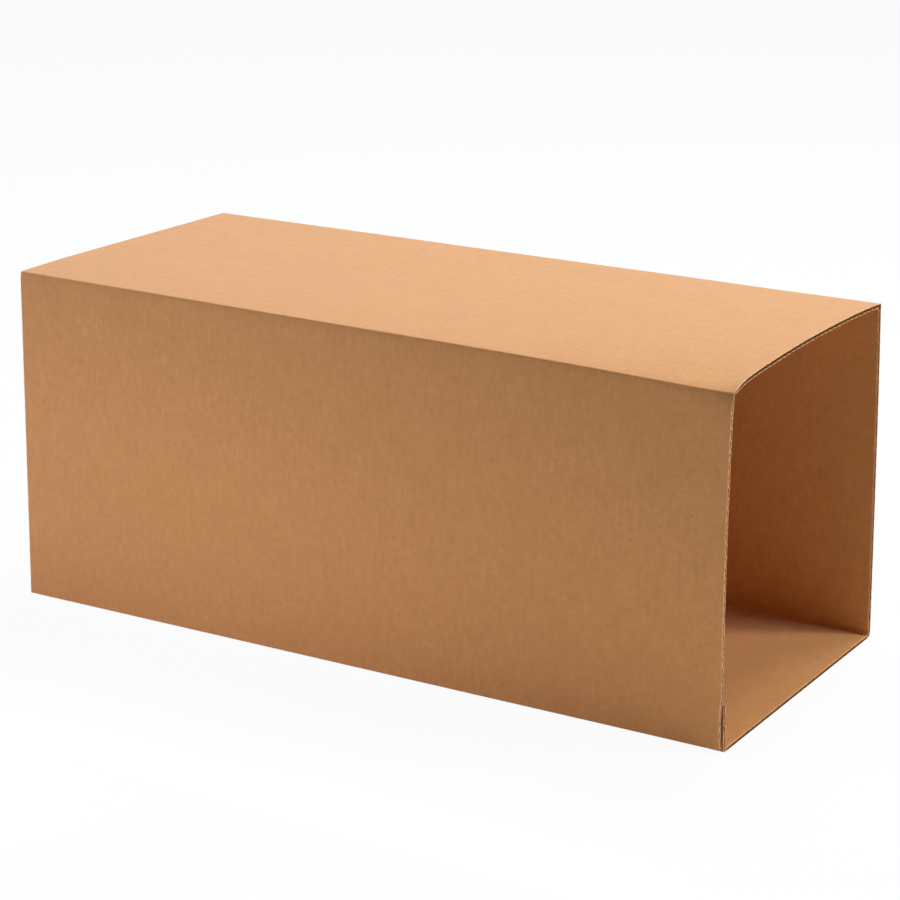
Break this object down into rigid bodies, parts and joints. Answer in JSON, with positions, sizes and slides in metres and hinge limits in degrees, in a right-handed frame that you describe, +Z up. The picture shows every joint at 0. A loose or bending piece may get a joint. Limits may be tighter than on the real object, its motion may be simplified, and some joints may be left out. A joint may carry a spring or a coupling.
{
  "type": "open cardboard box",
  "caption": "Long square sleeve of single-wall corrugated cardboard, open at both ends, folded from one blank and glued along an inside tab.",
  "frame": {"origin": "on the floor, under the middle of the box", "axes": "+X along the length towards the end that the picture looks into, -Y out of the large front panel, +Z up"},
  "size_m": [0.604, 0.262, 0.262],
  "materials": {
    "kraft_board": "matte unbleached kraft liner, faint fibre mottling",
    "dried_glue": "dried carton glue, cream, slightly glossy"
  },
  "bodies": {
    "root": {"sleeve": "kraft_board", "glue_line": "dried_glue"}
  },
  "joints": []
}
